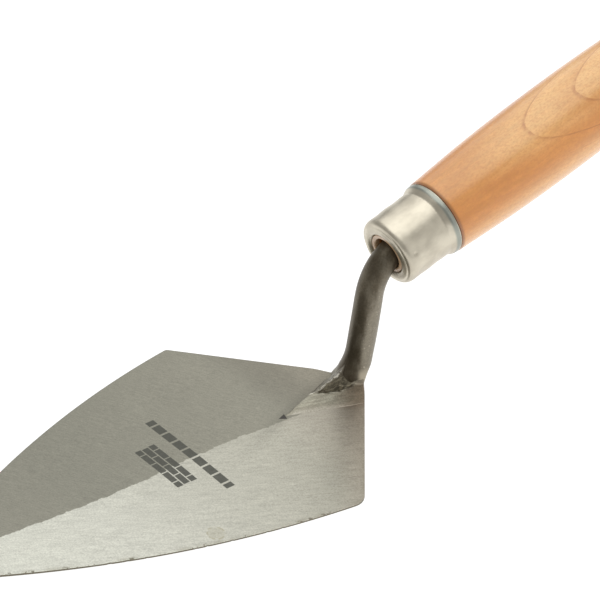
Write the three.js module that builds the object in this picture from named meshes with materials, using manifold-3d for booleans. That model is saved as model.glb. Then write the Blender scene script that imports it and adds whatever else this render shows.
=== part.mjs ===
// A pointing trowel for brickwork, in millimetres.
// The blade lies flat on the XY plane with its tip towards -X, and the handle rises towards +X.
// The origin is on the blade's underside, in the middle of the line between its two shoulders.
//
// It has five pieces: the ground steel blade, the cranked tang with its foot and its spike, the weld that
// joins the foot to the blade, the pressed steel ferrule and the turned wooden handle.

import * as THREE from "three";
import { ConvexGeometry } from "three/addons/geometries/ConvexGeometry.js";
import { mergeVertices } from "three/addons/utils/BufferGeometryUtils.js";
import Module from "manifold-3d";

const wasm = await Module();
wasm.setup();

// ---- Driving dimensions ----

const GAP = 0.3; // room left between two pieces that touch
const REACH = 400; // longer than the whole trowel, for cutting blocks

// Blade: six inches long
const BLADE_LENGTH = 152.4;
const BLADE_WIDTH = 83.6;
const HEEL_DEPTH = 37.4; // from the shoulder line back to the point of the heel
const SIDE_RADIUS = 285; // each side bows out in a long arc
const NEAR_SHOULDER_EASE = 3; // how far the rounding of each corner starts from it
const FAR_SHOULDER_EASE = 0.8;
const TIP_EASE = 2.5;
const HEEL_EASE = 1.2;
const SPINE_HEEL_HEIGHT = 1.4; // thickness of the blade along the ridge between its two ground faces
const SPINE_TIP_HEIGHT = 0.8;
const SPINE_HEEL_OFFSET = -3; // the ridge is ground a little off the middle at the heel
const FACE_FALL = 0.02; // fall of each ground face, per millimetre away from the ridge
const SIDE_STEPS = 24;

// Tang: a round bar with a crank
const BAR_RADIUS = 4;
const BAR_SIDES = 12;
const NECK_TOP = new THREE.Vector2(36.3, 39.2); // where the neck's line meets the handle's line (X, Z)
const NECK_FOOT = new THREE.Vector2(33.9, 8); // a point on the neck's line, above the foot
const NECK_BEND = 10; // length of each line that the bend into the handle takes up
const BAR_IN_HANDLE = 26; // round part of the bar, measured from the mouth of the ferrule
const SPIKE_LENGTH = 50;
const SPIKE_TIP_RADIUS = 1.6;
const SWEEP_STEPS = 40;

// Foot: the drawn-out end of the tang, lying on the blade
const FOOT_BASE = SPINE_HEEL_HEIGHT + GAP;
const FOOT_TIP = new THREE.Vector2(9, -1.4);
const FOOT_TIP_HALF_WIDTH = 0.9;
const FOOT_BACK_HALF_WIDTH = 3.2;
const FOOT_TIP_RISE = 0.3;
const FOOT_RISE = 7.5; // height at which the foot leaves the front of the bar
const FOOT_HOLLOW = new THREE.Vector2(2, 3); // control point of its hollow top: ahead of the bar, height
const FOOT_HEEL_LEAN = THREE.MathUtils.degToRad(12); // its back is ground away towards the heel

// Weld around the foot, ground down to a low V
const WELD_TIP = new THREE.Vector2(5.6, -1.8);
const WELD_NEAR = new THREE.Vector2(28.3, -10.2);
const WELD_FAR = new THREE.Vector2(30, 8.2);
const WELD_TOP = 3.2;

// Handle and ferrule: turned shapes on one sloping axis
const GRIP_ANGLE = THREE.MathUtils.degToRad(17.8);
const MOUTH = new THREE.Vector3(39.75, 0, 40.5); // centre of the ferrule's mouth
const LATHE_SIDES = 40;

const FERRULE_LENGTH = 18.5;
const FERRULE_WALL = 0.9;
const FERRULE_MOUTH_RADIUS = 6.1;
const FERRULE_RADIUS = 10;
const FERRULE_LIP = 2.6; // rounding between the front and the side
const FERRULE_FLARE = 1; // the last millimetres open out over the wood
const FERRULE_FLARE_LENGTH = 3.2;

const HANDLE_LENGTH = 124; // from the ferrule's mouth to the butt
const HANDLE_START_RADIUS = 11.15;
const HANDLE_SWELL_RADIUS = 12.8;
const HANDLE_BUTT_RADIUS = 11.3;
const NECK_FACE = 1.7; // the wood's front face, inside the lip
const HOLE_MOUTH_RADIUS = 5.3; // the tang's hole is wider at its mouth, where the bar bends
const HOLE_MOUTH_DEPTH = 8;
const HOLE_RADIUS = BAR_RADIUS + GAP;
const PILOT_RADIUS = 3.1;

// ---- Solids and geometries ----

function solidOf(geometry) {
  const bare = geometry.index ? geometry.toNonIndexed() : geometry.clone();
  bare.deleteAttribute("normal");
  bare.deleteAttribute("uv");
  const merged = mergeVertices(bare, 1e-4);
  return new wasm.Manifold(
    new wasm.Mesh({
      numProp: 3,
      vertProperties: merged.attributes.position.array,
      triVerts: new Uint32Array(merged.index.array),
    }),
  );
}

function geometryOf(solid) {
  const mesh = solid.getMesh();
  const geometry = new THREE.BufferGeometry();
  geometry.setAttribute("position", new THREE.BufferAttribute(mesh.vertProperties, 3));
  geometry.setIndex(new THREE.BufferAttribute(mesh.triVerts, 1));
  geometry.computeVertexNormals();
  return geometry;
}

// A shape drawn in X and Z, given a width along Y.
function plateInXZ(points, halfWidth) {
  const plate = new THREE.ExtrudeGeometry(new THREE.Shape(points), {
    depth: 2 * halfWidth,
    bevelEnabled: false,
  });
  plate.translate(0, 0, -halfWidth);
  plate.rotateX(Math.PI / 2);
  return plate;
}

// A block that fills everything above the plane through `point` whose edges run along `u` and `v`.
function blockAbove(point, u, v) {
  const up = new THREE.Vector3().crossVectors(u, v).normalize();
  const across = new THREE.Vector3().crossVectors(up, u).normalize();
  const block = new THREE.BoxGeometry(REACH, REACH, REACH);
  block.translate(0, 0, REACH / 2);
  block.applyMatrix4(new THREE.Matrix4().makeBasis(u.clone().normalize(), across, up));
  block.translate(point.x, point.y, point.z);
  return block;
}

// ---- Blade ----

const HALF_WIDTH = BLADE_WIDTH / 2;
const HEEL_X = HEEL_DEPTH;
const TIP_X = HEEL_DEPTH - BLADE_LENGTH;

// Centre of the arc that runs from the far shoulder to the tip.
function sideArcCentre() {
  const shoulder = new THREE.Vector2(0, HALF_WIDTH);
  const tip = new THREE.Vector2(TIP_X, 0);
  const chord = tip.clone().sub(shoulder);
  const toCentre = Math.sqrt(SIDE_RADIUS ** 2 - (chord.length() / 2) ** 2);
  const inward = new THREE.Vector2(-chord.y, chord.x).normalize();
  return shoulder.add(tip).multiplyScalar(0.5).add(inward.multiplyScalar(toCentre));
}

// One side of the blade from shoulder to tip, stopping short of both corners.
function sidePoints(shoulderEase) {
  const centre = sideArcCentre();
  const start = Math.atan2(HALF_WIDTH - centre.y, -centre.x) + shoulderEase / SIDE_RADIUS;
  const end = Math.atan2(-centre.y, TIP_X - centre.x) - TIP_EASE / SIDE_RADIUS;
  const points = [];
  for (let i = 0; i <= SIDE_STEPS; i++) {
    const angle = start + ((end - start) * i) / SIDE_STEPS;
    points.push(
      new THREE.Vector2(
        centre.x + SIDE_RADIUS * Math.cos(angle),
        centre.y + SIDE_RADIUS * Math.sin(angle),
      ),
    );
  }
  return points;
}

function bladeOutline() {
  const heelEdge = new THREE.Vector2(HEEL_X, -HALF_WIDTH).normalize(); // from a shoulder to the heel
  const onHeelEdge = (distance) =>
    new THREE.Vector2(0, HALF_WIDTH).addScaledVector(heelEdge, distance);
  const heelLength = Math.hypot(HEEL_X, HALF_WIDTH);
  const mirror = (p) => new THREE.Vector2(p.x, -p.y);

  const far = sidePoints(FAR_SHOULDER_EASE);
  const near = sidePoints(NEAR_SHOULDER_EASE).map(mirror).reverse();
  const heelFar = onHeelEdge(heelLength - HEEL_EASE);
  const heelNear = mirror(heelFar);
  const shoulderFar = onHeelEdge(FAR_SHOULDER_EASE);
  const shoulderNear = mirror(onHeelEdge(NEAR_SHOULDER_EASE));

  const outline = new THREE.Shape();
  outline.moveTo(heelFar.x, heelFar.y);
  outline.lineTo(shoulderFar.x, shoulderFar.y);
  outline.quadraticCurveTo(0, HALF_WIDTH, far[0].x, far[0].y);
  far.slice(1).forEach((p) => outline.lineTo(p.x, p.y));
  outline.quadraticCurveTo(TIP_X, 0, near[0].x, near[0].y);
  near.slice(1).forEach((p) => outline.lineTo(p.x, p.y));
  outline.quadraticCurveTo(0, -HALF_WIDTH, shoulderNear.x, shoulderNear.y);
  outline.lineTo(heelNear.x, heelNear.y);
  outline.quadraticCurveTo(HEEL_X, 0, heelFar.x, heelFar.y);
  return outline;
}

function bladeBlank(thickness) {
  return new THREE.ExtrudeGeometry(bladeOutline(), {
    depth: thickness,
    bevelEnabled: false,
    curveSegments: 6,
  });
}

// The two blocks above the ground faces, which meet along the ridge. `lift` raises them.
function groundFaces(lift) {
  const heel = new THREE.Vector3(HEEL_X, SPINE_HEEL_OFFSET, SPINE_HEEL_HEIGHT + lift);
  const tip = new THREE.Vector3(TIP_X, 0, SPINE_TIP_HEIGHT + lift);
  const along = tip.clone().sub(heel);
  const toFar = blockAbove(heel, along, new THREE.Vector3(0, -1, FACE_FALL));
  const toNear = blockAbove(heel, along, new THREE.Vector3(0, -1, -FACE_FALL));
  return [toFar, toNear];
}

function bladeGeometry() {
  let blade = solidOf(bladeBlank(SPINE_HEEL_HEIGHT));
  for (const block of groundFaces(0)) {
    blade = blade.subtract(solidOf(block));
  }
  return geometryOf(blade);
}

// ---- Tang ----

const GRIP_AXIS = new THREE.Vector3(Math.cos(GRIP_ANGLE), 0, Math.sin(GRIP_ANGLE));
const inXZ = (p) => new THREE.Vector3(p.x, 0, p.y);
const alongGrip = (distance) => MOUTH.clone().addScaledVector(GRIP_AXIS, distance);

// Centre line of the bar, from its bottom end on the foot up into the handle.
function barPath() {
  const corner = inXZ(NECK_TOP);
  const bottom = inXZ(NECK_FOOT);
  const up = corner.clone().sub(bottom).normalize();
  const bendStart = corner.clone().addScaledVector(up, -NECK_BEND);
  const bendEnd = corner.clone().addScaledVector(GRIP_AXIS, NECK_BEND);
  const ground = new THREE.Vector3(bottom.x, 0, FOOT_BASE);
  const path = new THREE.CurvePath();
  path.add(new THREE.LineCurve3(ground, bottom));
  path.add(new THREE.LineCurve3(bottom, bendStart));
  path.add(new THREE.QuadraticBezierCurve3(bendStart, corner, bendEnd));
  path.add(new THREE.LineCurve3(bendEnd, alongGrip(BAR_IN_HANDLE)));
  return path;
}

function barSolid(radius) {
  const round = new THREE.Shape();
  round.absarc(0, 0, radius, 0, 2 * Math.PI, false);
  const bar = new THREE.ExtrudeGeometry(round, {
    steps: SWEEP_STEPS,
    curveSegments: BAR_SIDES,
    bevelEnabled: false,
    extrudePath: barPath(),
  });
  return solidOf(bar);
}

// The square spike that is driven into the wood.
function spikeSolid() {
  const spike = new THREE.CylinderGeometry(SPIKE_TIP_RADIUS, BAR_RADIUS - 0.2, SPIKE_LENGTH, 4, 1);
  spike.translate(0, SPIKE_LENGTH / 2, 0);
  spike.applyQuaternion(gripTurn());
  const start = alongGrip(BAR_IN_HANDLE - 1);
  spike.translate(start.x, start.y, start.z);
  return solidOf(spike);
}

// The foot is a hollow-topped wedge from the side and a V from above. `growth` makes it larger all over.
function footSolid(growth) {
  const back = NECK_FOOT.x + BAR_RADIUS / 2;
  const front = NECK_FOOT.x - BAR_RADIUS + 0.2;
  const tipX = FOOT_TIP.x - growth;
  const hollow = new THREE.QuadraticBezierCurve(
    new THREE.Vector2(front - growth, FOOT_RISE + growth),
    new THREE.Vector2(front - FOOT_HOLLOW.x - growth, FOOT_HOLLOW.y + growth),
    new THREE.Vector2(tipX, FOOT_BASE + FOOT_TIP_RISE + growth),
  );
  const side = [
    new THREE.Vector2(back, FOOT_BASE),
    new THREE.Vector2(back, FOOT_RISE + growth),
    ...hollow.getPoints(10),
    new THREE.Vector2(tipX, FOOT_BASE),
  ];
  const wedge = solidOf(plateInXZ(side, 2 * BAR_RADIUS));

  const halfBack = FOOT_BACK_HALF_WIDTH + growth;
  const halfTip = FOOT_TIP_HALF_WIDTH + growth;
  const vee = new THREE.Shape([
    new THREE.Vector2(back, halfBack),
    new THREE.Vector2(front, halfBack),
    new THREE.Vector2(tipX, FOOT_TIP.y + halfTip),
    new THREE.Vector2(tipX, FOOT_TIP.y - halfTip),
    new THREE.Vector2(front, -halfBack),
    new THREE.Vector2(back, -halfBack),
  ]);
  const plan = new THREE.ExtrudeGeometry(vee, { depth: 2 * FOOT_RISE, bevelEnabled: false });
  return wedge.intersect(solidOf(plan));
}

// What is ground off the bottom of the bar: everything outside the heel's two edges, along planes that lean
// outwards as they rise, up to the top of the foot.
function heelBevels() {
  const heel = new THREE.Vector3(HEEL_X, 0, SPINE_HEEL_HEIGHT);
  const low = new THREE.BoxGeometry(REACH, REACH, FOOT_RISE);
  low.translate(0, 0, FOOT_RISE / 2);
  return [-1, 1].map((side) => {
    const edge = new THREE.Vector3(-HEEL_X, side * HALF_WIDTH, 0).normalize();
    const outward = new THREE.Vector3(HALF_WIDTH, side * HEEL_X, 0).normalize();
    const leaning = outward
      .multiplyScalar(Math.sin(FOOT_HEEL_LEAN))
      .add(new THREE.Vector3(0, 0, Math.cos(FOOT_HEEL_LEAN)));
    const block = side < 0 ? blockAbove(heel, leaning, edge) : blockAbove(heel, edge, leaning);
    return solidOf(block).intersect(solidOf(low));
  });
}

function tangGeometry() {
  let tang = barSolid(BAR_RADIUS).add(footSolid(0));
  for (const bevel of heelBevels()) {
    tang = tang.subtract(bevel);
  }
  return geometryOf(tang.add(spikeSolid()));
}

// ---- Weld ----

// A low mound around the foot, with its underside on the ground faces and its edge on the heel.
function weldGeometry() {
  const low = SPINE_HEEL_HEIGHT - 1;
  const front = NECK_FOOT.x - BAR_RADIUS;
  const back = NECK_FOOT.x;
  const corners = [
    [WELD_TIP.x, WELD_TIP.y, low],
    [WELD_NEAR.x, WELD_NEAR.y, low],
    [WELD_FAR.x, WELD_FAR.y, low],
    [HEEL_X, 0, low],
    [WELD_TIP.x, WELD_TIP.y, FOOT_BASE + 0.2],
    [WELD_NEAR.x, WELD_NEAR.y, FOOT_BASE],
    [WELD_FAR.x, WELD_FAR.y, FOOT_BASE],
    [HEEL_X, 0, FOOT_BASE + 0.6],
    [front, BAR_RADIUS, WELD_TOP],
    [front, -BAR_RADIUS, WELD_TOP],
    [back, BAR_RADIUS, WELD_TOP],
    [back, -BAR_RADIUS, WELD_TOP],
  ];
  const mound = solidOf(new ConvexGeometry(corners.map((c) => new THREE.Vector3(...c))));
  const slab = new THREE.BoxGeometry(REACH, REACH, 2 * WELD_TOP);
  let underFaces = solidOf(slab);
  for (const block of groundFaces(GAP)) {
    underFaces = underFaces.subtract(solidOf(block));
  }
  return geometryOf(
    mound
      .intersect(solidOf(bladeBlank(2 * WELD_TOP)))
      .subtract(underFaces)
      .subtract(footSolid(GAP))
      .subtract(barSolid(BAR_RADIUS + GAP)),
  );
}

// ---- Ferrule and handle ----

// Both are turned about Y and then laid along the grip's axis.
function gripTurn() {
  return new THREE.Quaternion().setFromUnitVectors(new THREE.Vector3(0, 1, 0), GRIP_AXIS);
}

function ferruleGeometry() {
  const flareStart = FERRULE_LENGTH - FERRULE_FLARE_LENGTH;
  const backRadius = FERRULE_RADIUS + FERRULE_FLARE;
  const lip = new THREE.Shape();
  lip.moveTo(FERRULE_RADIUS - FERRULE_LIP, 0);
  lip.absarc(FERRULE_RADIUS - FERRULE_LIP, FERRULE_LIP, FERRULE_LIP, -Math.PI / 2, 0, false);
  const insideLip = new THREE.Shape();
  const innerLip = FERRULE_LIP - FERRULE_WALL;
  insideLip.absarc(FERRULE_RADIUS - FERRULE_LIP, FERRULE_LIP, innerLip, 0, -Math.PI / 2, true);
  const profile = [
    new THREE.Vector2(FERRULE_MOUTH_RADIUS, FERRULE_WALL),
    new THREE.Vector2(FERRULE_MOUTH_RADIUS, FERRULE_WALL / 2),
    new THREE.Vector2(FERRULE_MOUTH_RADIUS + FERRULE_WALL / 2, 0),
    ...lip.getPoints(7),
    new THREE.Vector2(FERRULE_RADIUS, flareStart),
    new THREE.Vector2(backRadius, FERRULE_LENGTH),
    new THREE.Vector2(backRadius - FERRULE_WALL, FERRULE_LENGTH),
    new THREE.Vector2(FERRULE_RADIUS - FERRULE_WALL, flareStart),
    ...insideLip.getPoints(5),
    new THREE.Vector2(FERRULE_MOUTH_RADIUS, FERRULE_WALL),
  ];
  return new THREE.LatheGeometry(profile, LATHE_SIDES);
}

// Outer line of the wood from the ferrule to the middle of the butt.
function handleCurve() {
  const wood = HANDLE_LENGTH - FERRULE_LENGTH - GAP;
  const at = (share, radius) => new THREE.Vector2(radius, FERRULE_LENGTH + GAP + share * wood);
  const barrel = new THREE.SplineCurve([
    at(0, HANDLE_START_RADIUS),
    at(0.2, HANDLE_SWELL_RADIUS - 0.5),
    at(0.45, HANDLE_SWELL_RADIUS),
    at(0.77, HANDLE_SWELL_RADIUS - 0.75),
    at(0.89, HANDLE_BUTT_RADIUS),
  ]);
  const dome = new THREE.CubicBezierCurve(
    at(0.89, HANDLE_BUTT_RADIUS),
    at(0.97, HANDLE_BUTT_RADIUS - 1),
    at(1, HANDLE_BUTT_RADIUS - 5),
    at(1, 0),
  );
  return [...barrel.getPoints(18), ...dome.getPoints(9).slice(1)];
}

function handleGeometry() {
  const neckRadius = FERRULE_RADIUS - FERRULE_WALL - GAP;
  const neckChamfer = FERRULE_LIP - FERRULE_WALL;
  const pilotEnd = BAR_IN_HANDLE + SPIKE_LENGTH + 2;
  const profile = [
    new THREE.Vector2(0, pilotEnd + 1.5),
    new THREE.Vector2(PILOT_RADIUS, pilotEnd),
    new THREE.Vector2(PILOT_RADIUS, BAR_IN_HANDLE + 14),
    new THREE.Vector2(HOLE_RADIUS, BAR_IN_HANDLE + 10),
    new THREE.Vector2(HOLE_RADIUS, HOLE_MOUTH_DEPTH + 2),
    new THREE.Vector2(HOLE_MOUTH_RADIUS, HOLE_MOUTH_DEPTH),
    new THREE.Vector2(HOLE_MOUTH_RADIUS, NECK_FACE),
    new THREE.Vector2(neckRadius - neckChamfer, NECK_FACE),
    new THREE.Vector2(neckRadius, NECK_FACE + neckChamfer),
    new THREE.Vector2(neckRadius, FERRULE_LENGTH + GAP),
    ...handleCurve(),
  ];
  return new THREE.LatheGeometry(profile, LATHE_SIDES);
}

// ---- Assembly ----

function piece(name, geometry, colour, roughness, metalness) {
  const material = new THREE.MeshStandardMaterial({ color: colour, roughness, metalness });
  const mesh = new THREE.Mesh(geometry, material);
  mesh.name = name;
  return mesh;
}

const grip = new THREE.Group();
grip.position.copy(MOUTH);
grip.quaternion.copy(gripTurn());
grip.add(piece("ferrule", ferruleGeometry(), 0xcfccc0, 0.28, 1));
grip.add(piece("handle", handleGeometry(), 0xcf925e, 0.4, 0));

const trowel = new THREE.Group();
trowel.add(piece("blade", bladeGeometry(), 0xb9b9ad, 0.35, 1));
trowel.add(piece("tang", tangGeometry(), 0x45423a, 0.45, 1));
trowel.add(piece("tang_weld", weldGeometry(), 0x8d8a7e, 0.4, 1));
trowel.add(grip);

export default trowel;
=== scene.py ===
"""Looks of the pointing trowel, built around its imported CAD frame.

Every dimension here is in millimetres and becomes metres when a mesh is made. The five CAD nodes are each
replaced by a finer piece: ground blade, forged tang, ground weld, plated ferrule and varnished handle.
"""

import math

import bmesh
import bpy
import numpy as np
from mathutils import Matrix, Vector


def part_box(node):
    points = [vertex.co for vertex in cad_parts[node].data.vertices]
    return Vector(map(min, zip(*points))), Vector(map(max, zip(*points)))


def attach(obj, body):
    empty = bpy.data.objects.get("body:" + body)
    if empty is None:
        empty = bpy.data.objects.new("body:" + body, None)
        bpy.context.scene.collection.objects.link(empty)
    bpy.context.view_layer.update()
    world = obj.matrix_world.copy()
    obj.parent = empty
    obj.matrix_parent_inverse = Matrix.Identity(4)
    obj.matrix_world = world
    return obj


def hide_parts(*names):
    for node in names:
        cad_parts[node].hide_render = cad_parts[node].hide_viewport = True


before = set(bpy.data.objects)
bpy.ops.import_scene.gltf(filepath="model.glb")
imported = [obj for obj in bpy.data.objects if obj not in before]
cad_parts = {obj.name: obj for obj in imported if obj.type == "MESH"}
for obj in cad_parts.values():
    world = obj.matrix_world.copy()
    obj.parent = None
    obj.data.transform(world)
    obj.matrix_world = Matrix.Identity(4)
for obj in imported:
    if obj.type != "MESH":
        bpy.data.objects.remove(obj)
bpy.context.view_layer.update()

MM = 0.001


def box_mm(node):
    """Lowest and highest corner of a CAD node, in millimetres."""
    low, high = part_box(node)
    return low / MM, high / MM


# ---- Driving dimensions, in millimetres ----

BLADE_LOW, BLADE_HIGH = box_mm("blade")
FERRULE_HIGH = box_mm("ferrule")[1]
HANDLE_HIGH = box_mm("handle")[1]

# Blade: the corners of its outline, before they are rounded
HEEL_X = BLADE_HIGH.x + 0.4
TIP_X = BLADE_LOW.x - 1.06
HALF_WIDTH = BLADE_HIGH.y + 0.09
HEEL_SIDE = math.hypot(HEEL_X, HALF_WIDTH)  # length of each straight edge of the heel
SIDE_RADIUS = 285
NEAR_SHOULDER_EASE = 3
FAR_SHOULDER_EASE = 0.8
TIP_EASE = 2.5
HEEL_EASE = 1.6
SPINE_HEEL_HEIGHT = BLADE_HIGH.z
SPINE_TIP_HEIGHT = 0.8
SPINE_START = (-85, -0.3)  # a point under the ridge, in X and Y
SPINE_SLOPE = -0.03
SPINE_WAVE = 0.6
SPINE_WAVE_AT = -53
SPINE_WAVE_LENGTH = 70
FACE_FALL = 0.02  # fall of each ground face, per millimetre away from the ridge
EDGE_ROUND = 0.14
NICKS = 9  # small dents in the near edge, between these two places in X
NICK_RANGE = (-76, -12)
# The heel's near (-1) and far (1) edges are ground back beside the weld: how deep, and how far from the
# heel it is in full and gone
WELD_GRIND = {-1: (0.7, 2, 11), 1: (0.8, 8.5, 15)}

# Tang
BAR_RADIUS = 3.88
BAR_BASE = (33.6, 1.0)  # centre line of the bar in X and Z
BAR_LOW = (34.0, 8.0)
NECK_TOP = (36.3, 39.2)
NECK_BEND = 10
BAR_IN_HANDLE = 26
BAR_SIDES = 120
# How much the foot of the bar widens in front, at each height
FLARE = ((1, 1.45), (4.5, 1.4), (5.6, 1.15), (7, 0.7), (8.5, 0.35), (10.2, 0.1), (12, 0))
HEEL_LEAN = math.radians(12)  # the bar's back is ground away along the heel
HEEL_LEAN_TOP = 7.5

# Foot and weld
WELD_TIP = (6.8, -1.75)
FAR_SLOPE = 0.323  # how fast each side of the weld leaves the tip
NEAR_SLOPE = 0.37
NEAR_SET_OUT = 0.25  # how far the weld's near edge starts outside the tip
SKIRT = 0.2  # how far the weld's edges dip into the blade
UNDER_POINTS = 9  # points across the weld's flat underside
# (X, value) points along the foot: the rib's place in Y and its height, the pad's height, and how far
# the pocket reaches from the rib
CREST_LINE = (
    (6.2, -2.0), (10, -1.2), (14, 0.35), (16.4, 1.1), (18.3, 0.85), (20.1, 0.5),
    (22, 0.3), (24, 0.2), (27, 0.3), (31, 0.4), (38, 0.2),
)
CREST_HEIGHT = (
    (6.2, 0), (10, 0.4), (14, 0.7), (16.4, 0.8), (18.3, 1.0), (20.1, 1.6),
    (22, 2.6), (24, 3.4), (26.8, 4.1), (28.5, 5.2), (30, 7.0), (38, 7.0),
)
PAD_HEIGHT = ((6.2, 0.1), (10, 0.5), (14, 0.8), (20, 1.25), (26, 1.7), (38, 1.8))
POCKET_RIM = ((17, 0.0), (19, 0.3), (21.3, 1.5), (24.9, 2.9), (38, 3.1))
PAD_RISE = 0.22  # rise of the pad, per millimetre in from its near edge
RIB_FALL = 3.2  # fall of the rib's near side, per millimetre
# The weld's height against its gap from the bar, in front of the bar and on its near side
FRONT_FILLET = ((0, 5.3), (0.8, 4.85), (1.4, 3.75), (2.2, 2.15), (3.2, 0.75), (4.5, -0.6), (9, -5))
NEAR_FILLET = ((0, 2.6), (0.8, 1.6), (1.6, 0.6), (3, -1.0), (9, -5))

# Ferrule and handle, along the grip from the ferrule's mouth
GRIP_ANGLE = math.radians(17.8)
FERRULE_LENGTH = 18.5
FERRULE_BACK_RADIUS = FERRULE_HIGH.y
FERRULE_RADIUS = FERRULE_BACK_RADIUS - 1
FLARE_START = 15.3
WALL = 0.75
DIMPLE_ANGLE = math.radians(-112)  # a small dimple in the ferrule, round it and along it
DIMPLE_HEIGHT = 3.6
HANDLE_LENGTH = 124
HANDLE_SWELL = HANDLE_HIGH.y
HANDLE_START = 11.15  # the radius of the wood beside the ferrule
WOOD_START = FERRULE_LENGTH + 0.12
BUTT_RADIUS = HANDLE_SWELL - 1.5
BUTT_SHARE = 0.89  # the share of the barrel's length where the butt begins to close
GRIP_AXIS = Vector((math.cos(GRIP_ANGLE), 0, math.sin(GRIP_ANGLE)))
GRIP_ACROSS = Vector((0, 1, 0))
GRIP_FRONT = GRIP_ACROSS.cross(GRIP_AXIS)
MOUTH = Vector((
    FERRULE_HIGH.x - FERRULE_LENGTH * GRIP_AXIS.x - FERRULE_BACK_RADIUS * GRIP_AXIS.z,
    0,
    FERRULE_HIGH.z - FERRULE_LENGTH * GRIP_AXIS.z - FERRULE_BACK_RADIUS * GRIP_AXIS.x,
))

# Marks on the blade
# Print: each block's range in X and in Y, brick width, row height and mortar
PRINT_BLOCKS = (
    ((-37.2, -30.3), (-9.4, 8.9), 4.57, 2.3, 0.2),
    ((-26.9, -23.5), (-17.0, 17.6), 4.3, 3.4, 0.36),
)
# The painted shadow of the pit where the weld begins: a point on each of its three sides, and the direction
# inwards
PIT_SHADOW_SIDES = (
    ((4.2, -1.84), (0.562, 0.827)),
    ((4.2, -1.84), (0.313, -0.95)),
    ((6.2, -3.2), (-0.955, 0.297)),
)
SMUDGE_PLACE = (-40.5, -29.4, 0.0)  # a faint ring left by something wet
SMUDGE_RADIUS = 2.3

# Sides of the bar, as directions in X and Y
RUBBED_AND_LIT_WAY = (0.755, -0.655)
BACK_WAY = (0.9, 0.43)

# Grain of the wood. Faces are in degrees round the handle, from its underside
GRAIN_FACE = 203.0  # the ovals lie near the top
SAPWOOD_AND_TOP_LIGHT_FACE = 186.0
LOWER_SHEEN_FACE = -50.93
GRAIN_SLANT = 0.2  # how far the layers lean, per millimetre along the grip
GRAIN_PITCH = 3.92
GRAIN_START = 22.95

# Studio
FLOOR_HALF = 3000
FLOOR_DROP = 0.2  # how far the table lies below the blade
FLOOR_GLOW = 0.9
WORLD_COLOUR = (1.0, 0.99, 0.96)
WORLD_STRENGTH = 0.45
PANEL_AIM = (20, 0, 20)
# Name, place, size and glow of each lamp; a glow of 1 is as bright as white paper
PANELS = (
    ("back_panel", (500, 560, 620), (900, 700), 0.85),
    ("top_panel", (60, 60, 900), (900, 900), 1.3),
    ("right_panel", (400, -650, 380), (700, 700), 0.45),
)

# Camera: where its axis passes, and how it stands
CAMERA_TARGET = Vector((15.39, 6.01, 31.63))
CAMERA_DISTANCE = 789.5
CAMERA_AZIMUTH = math.radians(-44.13)
CAMERA_ELEVATION = math.radians(34.07)
CAMERA_ROLL = math.radians(5.75)
CAMERA_LENS = 175.94
SENSOR = 36


# ---- Colours, given as they look on screen ----


def srgb(red, green, blue):
    """A colour given as 0 to 255 screen values, as linear light."""
    linear = lambda v: v / 12.92 if v <= 0.04045 else ((v + 0.055) / 1.055) ** 2.4
    return tuple(linear(v / 255) for v in (red, green, blue))


# Painted reflection: the two ground faces, the near one lighter and the far one darker, from the tip (0) to
# the heel (1)
NEAR_FACE_REFLECTION = (
    (0.0, srgb(201, 202, 192)),
    (0.36, srgb(191, 191, 181)),
    (0.56, srgb(178, 177, 166)),
    (0.75, srgb(170, 168, 156)),
    (0.88, srgb(175, 169, 156)),
    (1.0, srgb(184, 171, 155)),
)
FAR_FACE_REFLECTION = (
    (0.0, srgb(140, 138, 127)),
    (0.4, srgb(134, 133, 122)),
    (0.8, srgb(143, 141, 129)),
    (1.0, srgb(141, 135, 122)),
)
UNDERSIDE = srgb(164, 162, 149)
CUT_EDGE = srgb(112, 106, 92)
HEEL_TINT = srgb(176, 162, 148)
WELD_TINT = srgb(142, 124, 108)
STAIN = srgb(138, 134, 116)
NICK = srgb(98, 92, 76)
SMUDGE = srgb(156, 150, 126)
PIT_SHADOW = srgb(44, 40, 32)
PRINT_INK = srgb(78, 79, 71)

SKIN_DARK = srgb(84, 76, 62)
SKIN_LIGHT = srgb(108, 101, 87)
SKIN_RUBBED_AND_LIT = srgb(146, 139, 124)
SKIN_SPECK = srgb(186, 178, 160)
SKIN_WORN = srgb(172, 163, 144)

FLANK_DARK = srgb(141, 137, 123)
FLANK_LIGHT = srgb(160, 157, 142)
FLANK_HEATED = srgb(140, 127, 111)
FACET_DARK = srgb(84, 79, 67)
FACET_LIGHT = srgb(146, 141, 126)
POCKET_SHADE_DARK = srgb(88, 82, 68)
POCKET_SHADE_LIGHT = srgb(134, 126, 108)
FOOT_TOP = srgb(96, 89, 77)
RIB_HIGHLIGHT = srgb(214, 210, 198)

PLATING_DARK = srgb(190, 183, 167)
PLATING_LIGHT = srgb(210, 203, 186)
PLATING_BAND_REFLECTION = srgb(138, 147, 142)
PLATING_CREASE_SHADE = srgb(140, 128, 112)

WOOD_SAPWOOD_AND_SHEEN = srgb(255, 206, 137)
WOOD_LIGHT = srgb(226, 151, 72)
WOOD_DARK = srgb(208, 133, 58)
WOOD_LINE = srgb(176, 104, 54)
WOOD_PORE = srgb(206, 126, 66)
WOOD_END = srgb(198, 171, 138)
WOOD_GAP_SHADOW = srgb(140, 88, 52)


# ---- Shared helpers ----


def smooth(low, high, value):
    """0 below low, 1 above high, and a smooth rise between them. low may be the larger one."""
    share = np.clip((np.asarray(value, float) - low) / (high - low), 0, 1)
    return share * share * (3 - 2 * share)


def soft_max(a, b, width):
    """The larger of two heights, with the corner between them rounded."""
    return (a + b + np.sqrt((a - b) ** 2 + width**2)) / 2


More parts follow.
